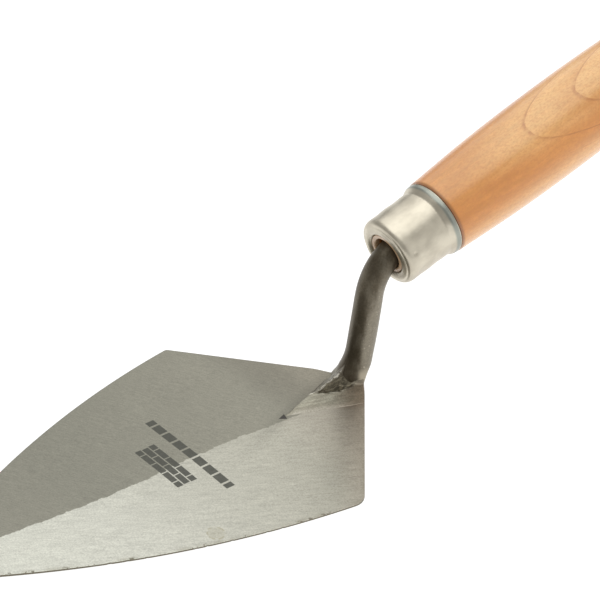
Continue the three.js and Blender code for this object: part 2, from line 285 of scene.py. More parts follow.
def spline(points, at):
    """A smooth line through a few (place, value) points, level beyond the first and the last."""
    xs, ys = np.array(points, float).T
    slopes = np.gradient(ys, xs)
    index = np.clip(np.searchsorted(xs, at) - 1, 0, len(xs) - 2)
    step = xs[index + 1] - xs[index]
    share = np.clip((at - xs[index]) / step, 0, 1)
    left, right = slopes[index] * step, slopes[index + 1] * step
    square, cube = share**2, share**3
    straight = ys[index] + (ys[index + 1] - ys[index]) * (3 * square - 2 * cube)
    return straight + (cube - 2 * square + share) * left + (cube - square) * right


def waves(place, seed, lengths):
    """Gentle random waves over 3-D places, mostly within -1 to 1; the lengths are the wavelengths used."""
    random = np.random.default_rng(seed)
    place = np.asarray(place, float)
    total = np.zeros(place.shape[:-1])
    for length in lengths:
        direction = random.normal(size=3)
        direction /= np.linalg.norm(direction)
        total += np.sin(place @ direction * 2 * math.pi / length + random.uniform(0, 2 * math.pi))
    return total / math.sqrt(len(lengths))


def bezier(a, b, c, steps):
    """Points of a quadratic curve from a to c, drawn towards b, without its last point."""
    a, b, c = (np.array(p, float) for p in (a, b, c))
    t = np.linspace(0, 1, steps, endpoint=False)[:, None]
    return (1 - t) ** 2 * a + 2 * t * (1 - t) * b + t**2 * c


def line(a, c, steps):
    """Evenly spaced points from a towards c, without the last one."""
    a, c = np.array(a, float), np.array(c, float)
    return a + (c - a) * np.linspace(0, 1, steps, endpoint=False)[:, None]


def ring_mesh(name, rings, closed=False, sharp_angle=40, attributes=None):
    """A skin through closed rings of equally many points. Its ends are capped unless it closes on itself."""
    rings = np.asarray(rings, float)
    rows, columns = rings.shape[:2]
    vertices = (rings.reshape(-1, 3) * MM).tolist()
    here = np.arange(rows * columns).reshape(rows, columns)
    after = np.roll(here, -1, axis=1)
    faces = np.stack([here, after, np.roll(after, -1, axis=0), np.roll(here, -1, axis=0)], axis=-1)
    faces = (faces if closed else faces[:-1]).reshape(-1, 4).tolist()
    if not closed:
        for row in (0, rows - 1):
            centre = len(vertices)
            vertices.append(tuple(rings[row].mean(0) * MM))
            for pair in zip(here[row].tolist(), after[row].tolist()):
                faces.append((centre, *(pair if row else pair[::-1])))
    mesh = bpy.data.meshes.new(name)
    mesh.from_pydata(vertices, [], faces)
    for key, values in (attributes or {}).items():
        caps = [] if closed else [values[0].mean(), values[-1].mean()]
        layer = mesh.attributes.new(key, "FLOAT", "POINT")
        layer.data.foreach_set("value", np.append(values.ravel(), caps).astype(np.float32))
    finish_mesh(mesh, sharp_angle)
    return bpy.data.objects.new(name, mesh)


def finish_mesh(mesh, sharp_angle):
    """Welds doubled points, turns every face outwards, and shades it smooth between its sharp edges."""
    shape = bmesh.new()
    shape.from_mesh(mesh)
    bmesh.ops.remove_doubles(shape, verts=shape.verts, dist=1e-7)
    bmesh.ops.dissolve_degenerate(shape, edges=shape.edges, dist=1e-8)
    bmesh.ops.recalc_face_normals(shape, faces=shape.faces)
    if shape.calc_volume(signed=True) < 0:
        bmesh.ops.reverse_faces(shape, faces=shape.faces)
    limit = math.radians(sharp_angle)
    for edge in shape.edges:
        edge.smooth = edge.calc_face_angle(0) < limit
    for face in shape.faces:
        face.smooth = True
    shape.to_mesh(mesh)
    shape.free()


def lathe_rings(profile, sides, bumps=None):
    """Rings round the local Z axis from (radius, height) points. bumps(angle, height, radius) is added."""
    radius, height = np.array(profile, float).T
    angle = np.linspace(0, 2 * math.pi, sides, endpoint=False)
    angles, heights = np.meshgrid(angle, height)
    radii = np.repeat(radius[:, None], sides, axis=1)
    if bumps:
        radii = radii + bumps(angles, heights, radii)
    return np.stack([radii * np.cos(angles), radii * np.sin(angles), heights], axis=-1)


def place_piece(piece, node, material):
    """Links a piece, gives it its material, and lets it ride in place of its CAD node."""
    bpy.context.scene.collection.objects.link(piece)
    piece.data.materials.append(material)
    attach(piece, "root")
    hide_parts(node)


# ---- Blade ----


def side_arc(shoulder_ease, steps):
    """The long arc from the tip to the far shoulder, stopping short of both corners."""
    shoulder, tip = np.array([0, HALF_WIDTH]), np.array([TIP_X, 0])
    chord = tip - shoulder
    length = np.linalg.norm(chord)
    inward = np.array([-chord[1], chord[0]]) / length
    centre = (shoulder + tip) / 2 + inward * math.sqrt(SIDE_RADIUS**2 - (length / 2) ** 2)
    first = math.atan2(-centre[1], TIP_X - centre[0]) - TIP_EASE / SIDE_RADIUS
    last = math.atan2(HALF_WIDTH - centre[1], -centre[0]) + shoulder_ease / SIDE_RADIUS
    angle = np.linspace(first, last, steps)
    return centre + SIDE_RADIUS * np.stack([np.cos(angle), np.sin(angle)], axis=1)


def half_outline(shoulder_ease):
    """The far half of the outline, from the middle of the tip to the middle of the heel."""
    arc = side_arc(shoulder_ease, 420)
    mirrored = arc[0] * (1, -1)
    tip = bezier(mirrored, (TIP_X, 0), arc[0], 14)[7:]
    along_heel = np.array([HEEL_X, -HALF_WIDTH]) / HEEL_SIDE
    shoulder = np.array([0, HALF_WIDTH])
    heel_start = shoulder + along_heel * shoulder_ease
    heel_end = np.array([HEEL_X, 0]) - along_heel * HEEL_EASE
    return np.vstack([
        tip,
        arc[:-1],
        bezier(arc[-1], shoulder, heel_start, 12),
        line(heel_start, heel_end, 90),
        bezier(heel_end, (HEEL_X, 0), heel_end * (1, -1), 14)[:8],
    ])


def weld_grind(side, from_heel):
    """How far the heel's edge is ground back beside the weld, on the near (-1) or the far (1) side."""
    depth, full, gone = WELD_GRIND[side]
    return depth * smooth(gone, full, from_heel)


def ground_outline(shoulder_ease, side):
    """Half of the outline, ground back beside the weld."""
    outline = half_outline(shoulder_ease)
    outward = np.array([HALF_WIDTH, HEEL_X]) / HEEL_SIDE
    from_heel = np.linalg.norm(outline - (HEEL_X, 0), axis=1)
    depth = np.where(outline[:, 0] > 0, weld_grind(side, from_heel), 0)
    return outline - outward * depth[:, None]


def near_outline():
    """The near half: rounder at the shoulder, and nicked along its edge."""
    outline = ground_outline(NEAR_SHOULDER_EASE, -1)
    random = np.random.default_rng(3)
    inward = np.array([0.28, -0.96])  # about square to the long edge
    for place in random.uniform(*NICK_RANGE, NICKS):
        depth, width = random.uniform(0.05, 0.2), random.uniform(0.2, 0.45)
        dent = depth * np.exp(-(((outline[:, 0] - place) / width) ** 2)) * (outline[:, 0] < 0)
        outline = outline + inward * dent[:, None]
    return outline * (1, -1)


def spine_y(x):
    """Where the ridge between the two ground faces runs. Hand grinding leaves it a little wavy."""
    straight = SPINE_START[1] + SPINE_SLOPE * (x - SPINE_START[0])
    return straight - SPINE_WAVE * np.cos((x - SPINE_WAVE_AT) * 2 * math.pi / SPINE_WAVE_LENGTH)


def blade_top(x, y):
    """Height of the ground faces."""
    share = (x - TIP_X) / (HEEL_X - TIP_X)
    ridge = SPINE_TIP_HEIGHT + (SPINE_HEEL_HEIGHT - SPINE_TIP_HEIGHT) * share
    return ridge - FACE_FALL * np.abs(y - spine_y(x))


def blade_section(near, far):
    """One closed ring across the blade, and how far each of its points is from the edge."""
    reach = np.linalg.norm(far - near)
    along = (far - near) / max(reach, 1e-9)
    turn = min(EDGE_ROUND, reach / 5)
    middle = (near + far) / 2
    spine = spine_y(middle[0]) if abs(along[1]) > 0.2 else middle[1]
    ridge = np.clip((spine - near[1]) / max(far[1] - near[1], 1e-9), 0.3, 0.7) * reach
    spread = np.array([0.25, 0.6, 1.2, 2.4, 4.5, 8, 13, 19, 26, 34]) / 42
    out_near = turn + (ridge - turn) * spread
    out_far = reach - turn - (reach - turn - ridge) * spread
    near_z, far_z = float(blade_top(*near)), float(blade_top(*far))
    corner = 0.3 * turn
    points = []

    def add(distance, z=None, inset=0):
        """Adds a point that far from the near edge, on the ground face unless a height is given."""
        at = near + along * distance
        points.append((*at, float(blade_top(*at)) if z is None else z, inset))

    for share in np.linspace(0.02, 0.98, 7):
        add(reach * share, 0, min(share, 1 - share) * reach)
    add(reach - corner, 0)
    add(reach, corner)
    add(reach, far_z - turn)
    add(reach - corner, far_z - corner)
    for distance in [reach - turn, *out_far, ridge + 0.02 * turn]:
        add(distance, inset=reach - distance)
    for distance in [*out_near[::-1], turn]:
        add(distance, inset=distance)
    add(corner, near_z - corner)
    add(0, near_z - turn)
    add(0, corner)
    add(corner, 0)
    return points


def make_blade(material):
    sections = np.array([
        blade_section(near, far)
        for near, far in zip(near_outline(), ground_outline(FAR_SHOULDER_EASE, 1))
    ])
    blade = ring_mesh("trowel_blade", sections[..., :3], attributes={"inset": sections[..., 3]})
    place_piece(blade, "blade", material)


# ---- Tang ----


def bar_path():
    """Centre line of the bar: up from the foot, round the bend and into the handle."""
    flat = lambda p: np.array([p[0], 0.0, p[1]])
    grip = np.array(GRIP_AXIS)
    corner, low = flat(NECK_TOP), flat(BAR_LOW)
    up = (corner - low) / np.linalg.norm(corner - low)
    bend_start, bend_end = corner - up * NECK_BEND, corner + grip * NECK_BEND
    inside = np.array(MOUTH) + grip * BAR_IN_HANDLE
    return np.vstack([
        line(flat(BAR_BASE), low, 28),
        line(low, bend_start, 60),
        bezier(bend_start, corner, bend_end, 44),
        line(bend_end, inside, 30),
        [inside],
    ])


def foot_flare(rings, offset):
    """How much the foot of the bar widens: in front and towards the far side, fading out elsewhere."""
    turn = np.degrees(np.arctan2(offset[..., 1], -offset[..., 0]))
    share = smooth(-55, 5, turn) * smooth(140, 80, turn)
    return spline(FLARE, np.clip(rings[..., 2], 1, 12)) * share


def grind_to_heel(points):
    """Pushes what stands outside the heel's two edges back onto planes that lean out as they rise."""
    for side in (-1, 1):
        outward = np.array([HALF_WIDTH, side * HEEL_X]) / HEEL_SIDE
        over = (points[..., :2] - (HEEL_X - 0.5, 0)) @ outward
        room = (points[..., 2] - SPINE_HEEL_HEIGHT) * math.tan(HEEL_LEAN)
        room = room + 3 * smooth(HEEL_LEAN_TOP - 4, HEEL_LEAN_TOP + 4, points[..., 2]) ** 2
        excess = soft_max(over - room, 0, 0.35) - 0.02
        points[..., :2] -= np.maximum(excess, 0)[..., None] * outward
    return points


def make_tang(material):
    path = bar_path()
    along = np.gradient(path, axis=0)
    along /= np.linalg.norm(along, axis=1)[:, None]
    across = np.array([0.0, 1.0, 0.0])
    front = np.cross(across, along)
    angle = np.linspace(0, 2 * math.pi, BAR_SIDES, endpoint=False)[None, :, None]
    offset = np.cos(angle) * across + np.sin(angle) * front[:, None, :]
    rings = path[:, None, :] + offset * BAR_RADIUS
    hammered = waves(rings, 11, (31, 23, 14)) * 0.07 + waves(rings, 12, (6, 4.4, 3.1)) * 0.018
    rings = rings + offset * (hammered + foot_flare(rings, offset))[..., None]
    tang = ring_mesh("forged_tang", grind_to_heel(rings), sharp_angle=60)
    place_piece(tang, "tang", material)


# ---- Foot and weld ----


def weld_lines(x):
    """Y of the two straight edges of the weld's V at each X."""
    along = x - WELD_TIP[0]
    return WELD_TIP[1] - NEAR_SET_OUT - NEAR_SLOPE * along, WELD_TIP[1] + FAR_SLOPE * along


def heel_lines(x):
    """How far the weld may reach to the near and far side at each X, just inside the heel's edges."""
    from_heel = (HEEL_X - x) * HEEL_SIDE / HEEL_X
    slant = HALF_WIDTH / HEEL_X
    near, far = (
        (HEEL_X - margin - x) * slant - weld_grind(side, from_heel) * math.hypot(1, slant)
        for side, margin in ((-1, 0.04), (1, 0.1))
    )
    return near, far


def crest_place(x):
    """Y of the rib's crest, kept inside the weld's two edges."""
    near, far = weld_lines(x)
    return np.clip(spline(CREST_LINE, x), near + 0.1, far - 0.12)


def foot_height(x, y):
    """Height of the foot above the ground faces, how deep in the pocket, and the distance from the rib."""
    near, far = weld_lines(x)
    crest_y, crest = crest_place(x), spline(CREST_HEIGHT, x)
    below = crest_y - y
    pad = np.minimum(PAD_RISE * (y - near), spline(PAD_HEIGHT, x))
    place = np.stack([x, y, 0 * x], axis=-1)
    rim = spline(POCKET_RIM, x) + 0.3 * waves(place, 41, (3.4, 2.1, 1.3))
    in_pocket = smooth(17.5, 20.5, x) * smooth(rim + 0.6, rim - 1.2, below)
    sunk = np.minimum(0.75 + 0.03 * (x - 20), pad)
    base = pad * (1 - in_pocket) + sunk * in_pocket
    toward_far = np.clip(-below / (far - crest_y), 0, 1.2)
    crest = crest + 0.13 * waves(place, 42, (2.3, 1.4, 0.9)) * smooth(14, 19, x)
    rib = np.where(below > 0, crest - RIB_FALL * below, crest * (1 - toward_far))

    gap = np.maximum(np.hypot(x - BAR_LOW[0], y) - BAR_RADIUS, 0)
    turn = np.degrees(np.arctan2(y, BAR_LOW[0] - x))
    front = smooth(-35, 0, turn) * smooth(130, 80, turn)
    fillet = spline(FRONT_FILLET, gap) * front + spline(NEAR_FILLET, gap) * (1 - front)
    height = soft_max(soft_max(base, rib, 0.15), fillet, 0.3)
    steepness = 1.4 + 5 * smooth(26, 31, x)
    height = -soft_max(-height, -steepness * (far - y), 0.15)
    return height, in_pocket * smooth(0.08, 0.17, below), below


def foot_section(x):
    """One closed ring across the foot: its top from near to far, and a flat underside back."""
    heel_near, heel_far = heel_lines(x)
    near_line, far_line = weld_lines(x)
    near, far = max(near_line, -heel_near), min(far_line, heel_far)
    crest = np.clip(crest_place(x), near + 0.05, far - 0.05)
    y = np.concatenate([
        crest - (crest - near) * np.linspace(1, 0, 75) ** 1.5,
        crest + (far - crest) * np.linspace(0, 1, 40)[1:] ** 1.3,
    ])
    xs = np.full(len(y), float(x))
    height, pocket, below = foot_height(xs, y)
    room = np.minimum(y + heel_near, heel_far - y)
    top = blade_top(xs, y) + height - 0.3 * smooth(0.5, 0, room)
    if near > -heel_near:
        top[0] = blade_top(x, near) - SKIRT
    if far < heel_far:
        top[-1] = blade_top(x, far) - SKIRT
    low = SPINE_HEEL_HEIGHT - 0.75
    under = np.stack([
        np.full(UNDER_POINTS, float(x)),
        np.linspace(far, near, UNDER_POINTS),
        np.full(UNDER_POINTS, low),
    ], axis=1)
    ring = np.vstack([np.stack([xs, y, np.maximum(top, low + 0.05)], axis=1), under])
    return ring, [np.append(values, [values[-1]] * UNDER_POINTS) for values in (height, pocket, below)]


def make_weld(material):
    # The sections lie closer together where the foot rises steeply to the bar
    stations = np.concatenate([
        np.linspace(WELD_TIP[0], 27.5, 120, endpoint=False),
        np.linspace(27.5, 31.5, 30, endpoint=False),
        np.linspace(31.5, HEEL_X - 1.5, 30),
    ])
    sections = [foot_section(x) for x in stations]
    rings = np.array([ring for ring, _ in sections])
    rings[..., 2] += waves(rings, 21, (7, 4.6, 2.9)) * 0.02 * (rings[..., 2] > SPINE_HEEL_HEIGHT)
    values = np.array([values for _, values in sections]).swapaxes(0, 1)
    attributes = dict(zip(("height", "pocket", "below"), values))
    weld = ring_mesh("ground_weld", rings, sharp_angle=60, attributes=attributes)
    place_piece(weld, "tang_weld", material)


# ---- Ferrule and handle ----


def to_grip():
    """Takes a shape turned about Z to its place: its foot at the ferrule's mouth, its Z along the grip."""
    turn = Matrix((GRIP_FRONT, GRIP_ACROSS, GRIP_AXIS)).transposed().to_4x4()
    return Matrix.Translation(MOUTH * MM) @ turn


def ferrule_dents(angle, height, radius):
    """Uneven pressing of the thin wall, and one small round dimple by the mouth."""
    place = np.stack([10 * np.cos(angle), 10 * np.sin(angle), height], axis=-1)
    body = smooth(1, 4, height) * smooth(16, 14.5, height)
    along_wall = place * (1, 1, 0.3)
    uneven = waves(along_wall, 31, (17, 11, 7.5)) * 0.05 + waves(place, 32, (6, 4.4)) * 0.012
    across = np.hypot(10 * np.angle(np.exp(1j * (angle - DIMPLE_ANGLE))), height - DIMPLE_HEIGHT)
    dimple = 0.3 * np.exp(-((across / 0.45) ** 2))
    return np.where(radius > 8.5, uneven * (0.25 + 0.75 * body) - dimple, 0)


def ferrule_profile():
    """(radius, height) round the wall: rolled front ring, crease, shoulder, body, flared back, and inside."""
    outer = FERRULE_RADIUS
    back = FERRULE_BACK_RADIUS
    ring_centre, ring = 7.45, 1.38
    rolled = [
        (ring_centre - ring * math.cos(a), 0.95 - 0.95 * math.sin(a))
        for a in np.linspace(0, math.radians(150), 22)
    ]
    shoulder = [
        (outer - 1.25 + 1.25 * math.sin(a), 2.35 - 1.78 * math.cos(a))
        for a in np.linspace(math.radians(8), math.radians(90), 18)
    ]
    body = [(outer + 0.06 * math.sin(h), h) for h in np.linspace(2.9, 15.0, 40)]
    flare = [
        (outer + (back - outer - 0.05) * float(smooth(15.2, 17.6, h)) ** 0.8, h)
        for h in np.linspace(FLARE_START, 18.2, 14)
    ]
    rim = [(back, 18.35), (back - 0.08, 18.5), (back - 0.35, 18.5), (back - 0.5, 18.4)]
    inside = [(back - WALL, 17.4), (outer - WALL, FLARE_START), (outer - WALL, 3.2)]
    inside += [(outer - 1.6, 1.75), (7.4, 1.3), (6.3, 1.15), (6.1, 1.0)]
    return rolled + shoulder + body + flare + rim + inside


def make_ferrule(material):
    rings = lathe_rings(ferrule_profile(), 180, ferrule_dents)
    ferrule = ring_mesh("pressed_ferrule", rings, closed=True, sharp_angle=45)
    ferrule.data.transform(to_grip())
    place_piece(ferrule, "ferrule", material)


def handle_profile():
    """(radius, height) of the wood: the tang's hole, the neck inside the ferrule, the barrel and the butt."""
    wood = HANDLE_LENGTH - WOOD_START
    swell = (
        (0, HANDLE_START),
        (0.2, HANDLE_SWELL - 0.5),
        (0.45, HANDLE_SWELL),
        (0.77, HANDLE_SWELL - 0.75),
        (BUTT_SHARE, BUTT_RADIUS),
    )
    hole = [(0.0, 27), (2.9, 27), (3.0, 26.5), (4.3, 26), (4.35, 9), (4.5, 3.0), (4.6, 1.2), (4.8, 0.75)]
    neck = [(5.0, 0.66), (5.8, 0.66), (5.93, 0.8), (5.95, 1.6), (7.2, 2.0), (8.4, 2.45), (8.9, 2.9)]
    neck += [(9.05, 3.2), (9.05, WOOD_START - 0.5), (9.1, WOOD_START)]
    shoulder = [(HANDLE_START - 0.75, WOOD_START), (HANDLE_START - 0.22, WOOD_START + 0.06)]
    barrel = [
        (float(spline(swell, share)), WOOD_START + share * wood)
        for share in np.linspace(0.004, BUTT_SHARE, 110)
    ]
    corners = np.array([
        (BUTT_RADIUS, WOOD_START + BUTT_SHARE * wood),
        (BUTT_RADIUS - 1, WOOD_START + 0.97 * wood),
        (BUTT_RADIUS - 5, WOOD_START + wood),
        (0, WOOD_START + wood),
    ])
    t = np.linspace(0, 1, 40)[1:, None]
    weights = [(1 - t) ** 3, 3 * t * (1 - t) ** 2, 3 * t**2 * (1 - t), t**3]
    butt = sum(w * c for w, c in zip(weights, corners))
    return hole + neck + shoulder + barrel + [tuple(p) for p in butt]


def make_handle(material):
    rings = lathe_rings(handle_profile(), 200)
    handle = ring_mesh("turned_handle", rings, sharp_angle=42)
    handle.data.transform(to_grip())
    place_piece(handle, "handle", material)


# ---- Materials ----


class Shader:
    """Builds one material. Wherever a number or a colour is asked for, a node's output does too."""

    def __init__(self, name, on_grip=False):
        self.material = bpy.data.materials.new(name)
        self.material.use_nodes = True
        self.tree = self.material.node_tree
        self.surface = self.tree.nodes["Principled BSDF"]
        self.place = self.grip_place() if on_grip else self.object_place()
        self.x, self.y, self.z = self.split(self.place)

    def node(self, kind, inputs=(), **settings):
        """A new node, with values for its first inputs."""
        node = self.tree.nodes.new(kind)
        for key, value in settings.items():
            setattr(node, key, value)
        for socket, value in zip(node.inputs, inputs):
            self.put(socket, value)
        return node

    def put(self, socket, value):
        if isinstance(value, bpy.types.NodeSocket):
            self.tree.links.new(value, socket)
        elif isinstance(value, tuple) and len(value) == 3 and socket.type == "RGBA":
            socket.default_value = (*value, 1)
        else:
            socket.default_value = value

    def math(self, operation, *values):
        return self.node("ShaderNodeMath", values, operation=operation).outputs[0]

    def times(self, *values):
        """All the values multiplied together."""
        product = values[0]
        for value in values[1:]:
            product = self.math("MULTIPLY", product, value)
        return product

    def plus(self, a, b):
        return self.math("ADD", a, b)

    def minus(self, a, b):
        return self.math("SUBTRACT", a, b)

    def larger(self, a, b):
        return self.math("MAXIMUM", a, b)

    def size(self, value):
        """The value without its sign."""
        return self.math("ABSOLUTE", value)

    def vector(self, operation, a, b, output="Vector"):
        return self.node("ShaderNodeVectorMath", (a, b), operation=operation).outputs[output]

    def object_place(self):
        """The object's own coordinates, in millimetres."""
        return self.vector("MULTIPLY", self.node("ShaderNodeTexCoord").outputs["Object"], (1 / MM,) * 3)

    def grip_place(self):
        """Coordinates along the grip, in millimetres: Z from the ferrule's mouth towards the butt."""
        from_mouth = self.vector("SUBTRACT", self.object_place(), tuple(MOUTH))
        axes = (GRIP_FRONT, GRIP_ACROSS, GRIP_AXIS)
        return self.join(*(
            self.vector("DOT_PRODUCT", from_mouth, tuple(axis), "Value") for axis in axes
        ))

    def reach(self, start, way):
        """How far a point lies from the start, measured along that way in X and Y."""
        along_x = self.times(self.minus(self.x, start[0]), way[0])
        return self.math("MULTIPLY_ADD", self.minus(self.y, start[1]), way[1], along_x)

    def split(self, vector):
        return self.node("ShaderNodeSeparateXYZ", (vector,)).outputs

    def join(self, x, y, z):
        return self.node("ShaderNodeCombineXYZ", (x, y, z)).outputs[0]

    def attribute(self, name):
        return self.node("ShaderNodeAttribute", attribute_name=name).outputs["Fac"]

    def step(self, value, low, high):
        """0 below low, 1 above high, smooth between. low may be the larger one."""
        first, last = (0.0, 1.0) if low < high else (1.0, 0.0)
        inputs = (value, min(low, high), max(low, high), first, last)
        return self.node("ShaderNodeMapRange", inputs, interpolation_type="SMOOTHSTEP").outputs[0]

    def band(self, value, a, b, c, d):
        """Rises from 0 at a to 1 at b, and falls from 1 at c to 0 at d."""
        return self.times(self.step(value, a, b), self.step(value, d, c))

    def scale(self, value, low, high):
        """Takes 0 to 1 onto low to high."""
        return self.math("MULTIPLY_ADD", value, high - low, low)

    def sway(self, value, width, middle):
        """Takes 0 to 1 onto a range of that width about the middle."""
        return self.math("MULTIPLY_ADD", self.minus(value, 0.5), width, middle)

    def noise(self, length, detail=2.0, roughness=0.5, stretch=(1, 1, 1), seed=0.0, turn=0):
        """Noise with features about `length` millimetres across, times the stretch along each turned axis."""
        place = self.turned(turn) if turn else self.place
        scaled = self.vector("MULTIPLY", place, tuple(1 / (length * s) for s in stretch))
        node = self.node("ShaderNodeTexNoise", noise_dimensions="4D")
        self.put(node.inputs["Vector"], scaled)
        for key, value in (("W", seed), ("Scale", 1.0), ("Detail", detail), ("Roughness", roughness)):
            node.inputs[key].default_value = value
        return node.outputs["Fac"]

    def turned(self, degrees):
        """The place, turned about Z so that X runs along that direction."""
        node = self.node("ShaderNodeVectorRotate", rotation_type="Z_AXIS")
        self.put(node.inputs["Vector"], self.place)
        node.inputs["Angle"].default_value = -math.radians(degrees)
        return node.outputs[0]

    def between(self, share, a, b):
        """The number a where the share is 0, and b where it is 1."""
        node = self.node("ShaderNodeMix", data_type="FLOAT")
        self.put(node.inputs[0], share)
        self.put(node.inputs[2], a)
        self.put(node.inputs[3], b)
        return node.outputs[0]

    def mix(self, share, a, b, blend="MIX"):
        node = self.node("ShaderNodeMix", data_type="RGBA", blend_type=blend)
        colours = [s for s in node.inputs if s.type == "RGBA"]
        self.put(node.inputs[0], share)
        self.put(colours[0], a)
        self.put(colours[1], b)
        return [s for s in node.outputs if s.type == "RGBA"][0]

    def paint(self, colour, new, mask, strength):
        """The colour, with a new one over it where the mask is 1."""
        return self.mix(self.times(mask, strength), colour, new)

    def shade(self, colour, amount):
        """The colour, multiplied by a grey amount."""
        return self.mix(1.0, colour, self.join(amount, amount, amount), "MULTIPLY")

    def ramp(self, value, stops):
        node = self.node("ShaderNodeValToRGB", (value,))
        elements = node.color_ramp.elements
        while len(elements) < len(stops):
            elements.new(0.5)
        for element, (position, colour) in zip(elements, stops):
            element.position = position
            element.color = (*colour, 1)
        return node.outputs[0]

    def bump(self, height, distance, strength):
        """A bump whose height of 1 stands `distance` millimetres proud."""
        node = self.node("ShaderNodeBump")
        node.inputs["Strength"].default_value = strength
        node.inputs["Distance"].default_value = distance * MM
        self.put(node.inputs["Height"], height)
        return node.outputs[0]

    def set(self, **values):
        """Puts values on the surface's sockets; an underscore in a name stands for a space."""
        for key, value in values.items():
            self.put(self.surface.inputs[key.replace("_", " ")], value)
        return self.material


def print_block(s, xs, ys, width, height, mortar):
    """One block of printed bricks: 1 on a brick, and 0 in the mortar and outside the block."""
    brick = s.node("ShaderNodeTexBrick", offset=0.5, squash=1.0)
    s.put(brick.inputs["Vector"], s.join(s.minus(s.y, ys[0]), s.minus(s.x, xs[0]), 0.0))
    settings = {
        "Brick Width": width, "Row Height": height, "Mortar Size": mortar,
        "Mortar Smooth": 0.2, "Bias": 0.0, "Scale": 1.0,
    }
    for key, value in settings.items():
        brick.inputs[key].default_value = value
    soft = 0.05
    inside = [
        s.band(value, low - soft, low + soft, high - soft, high + soft)
        for value, (low, high) in ((s.x, xs), (s.y, ys))
    ]
    return s.times(*inside, s.minus(1.0, brick.outputs["Fac"]))


def brick_print(s):
    """A generic printed mark: a short wall of bricks, and one thin course of them beside it."""
    wall, course = (print_block(s, *block) for block in PRINT_BLOCKS)
    return s.math("MINIMUM", s.plus(wall, course), 1.0)


def face_reflection_colour(s, stops):
    """A ground face's colour, painted with the reflection it shows, which changes from the tip to the heel.
    """
    return s.ramp(s.math("DIVIDE", s.minus(s.x, TIP_X), HEEL_X - TIP_X), stops)


def far_share(s):
    """0 on the near ground face and 1 on the far one, with a ragged line between them."""
    wave = s.math("COSINE", s.times(s.minus(s.x, SPINE_WAVE_AT), 2 * math.pi / SPINE_WAVE_LENGTH))
    straight = s.math("MULTIPLY_ADD", s.minus(s.x, SPINE_START[0]), SPINE_SLOPE, SPINE_START[1])
    spine = s.math("MULTIPLY_ADD", wave, -SPINE_WAVE, straight)
    beyond = s.sway(s.noise(3.0, 4.0, 0.62), 2.5, s.minus(s.y, spine))
    return s.step(beyond, -0.14, 0.14)


def grinding_lines(s, far):
    """The fine lines that each ground face keeps from its own grinding."""
    near_fine = s.noise(0.42, 3.0, 0.6, (9, 1, 1), 1.0, -30)
    near_broad = s.noise(1.3, 2.0, 0.5, (4, 1, 1), 2.0, -30)
    near_lines = s.plus(s.times(near_fine, 0.6), s.times(near_broad, 0.4))
    far_lines = s.noise(0.4, 3.0, 0.6, (6, 1, 1), 3.0, -62)
    return s.between(far, near_lines, far_lines)


def ground_texture(s, far, lines):
    """How light the ground steel is from point to point: its lines, a speckle and soft patches."""
    speckle = s.noise(0.42, 2.0, 0.6, seed=6.0)
    fine = s.plus(s.times(lines, 0.5), s.times(speckle, 0.5))
    patches = s.noise(9.0, seed=4.0)
    return s.times(s.sway(fine, s.scale(far, 1.6, 1.25), 1.0), s.sway(patches, 0.1, 1.0))


def heat_tint_and_shade(s, colour):
    """Brown heat tint by the near heel edge and the weld, with painted soft shade along both sides of the
    foot.
    """
    heel_gap = s.reach((HEEL_X, 0), (-1, HEEL_X / HALF_WIDTH))
    near_heel = s.times(s.step(heel_gap, 12.0, 0.0), s.step(s.y, 0.0, -6.0))
    colour = s.paint(colour, HEEL_TINT, near_heel, 0.2)
    near_gap = s.reach(WELD_TIP, (NEAR_SLOPE, 1))
    # Painted shade beside the weld's near side
    beside = s.times(s.step(near_gap, -13.0, -1.0), s.band(s.x, 1.0, 14.0, 18.0, 25.0))
    colour = s.shade(colour, s.scale(beside, 1.0, 0.87))
    heated = s.times(s.step(near_gap, -2.5, -0.2), s.step(s.x, 18.0, 27.0), s.step(s.y, -2.0, -4.0))
    colour = s.paint(colour, WELD_TINT, heated, 0.4)
    far_gap = s.reach(WELD_TIP, (-FAR_SLOPE, 1))
    # Painted shade in a soft hollow along the line of the foot's far side, on down the ridge
    hollow_shade = s.times(s.band(far_gap, -2.6, -0.4, 0.6, 3.4), s.step(s.x, -22.0, 8.0))
    return s.shade(colour, s.scale(hollow_shade, 1.0, 0.87))


def edge_wear(s, colour):
    """A stained band and small dark nicks along the near edge."""
    inset = s.attribute("inset")
    near_edge = s.step(s.y, -6.0, -12.0)
    clouds = s.step(s.noise(3.5, 3.0, 0.6), 0.42, 0.6)
    stained = s.times(s.step(inset, 1.8, 0.3), near_edge, clouds)
    colour = s.paint(colour, STAIN, stained, 0.35)
    spots = s.step(s.noise(1.3, 2.0, 0.6), 0.56, 0.62)
    nicks = s.times(s.step(inset, 1.1, 0.35), spots, near_edge, s.step(s.x, -2.0, -14.0))
    return s.paint(colour, NICK, nicks, 0.75)


def smudge_mask(s):
    """A faint broken ring, and a fainter disc inside it."""
    radius = s.vector("DISTANCE", s.join(s.x, s.y, 0.0), SMUDGE_PLACE, "Value")
    ring = s.minus(1.0, s.step(s.size(s.minus(radius, SMUDGE_RADIUS)), 0.1, 0.5))
    broken = s.times(ring, s.step(s.noise(1.2), 0.42, 0.58))
    disc = s.step(radius, SMUDGE_RADIUS + 0.3, SMUDGE_RADIUS - 0.5)
    return s.larger(broken, s.times(disc, 0.4))


def pit_shadow_mask(s):
    """The painted shadow of the small pit where the weld begins: what lies inside all three of its sides."""
    return s.times(*(s.step(s.reach(*side), -0.12, 0.12) for side in PIT_SHADOW_SIDES))


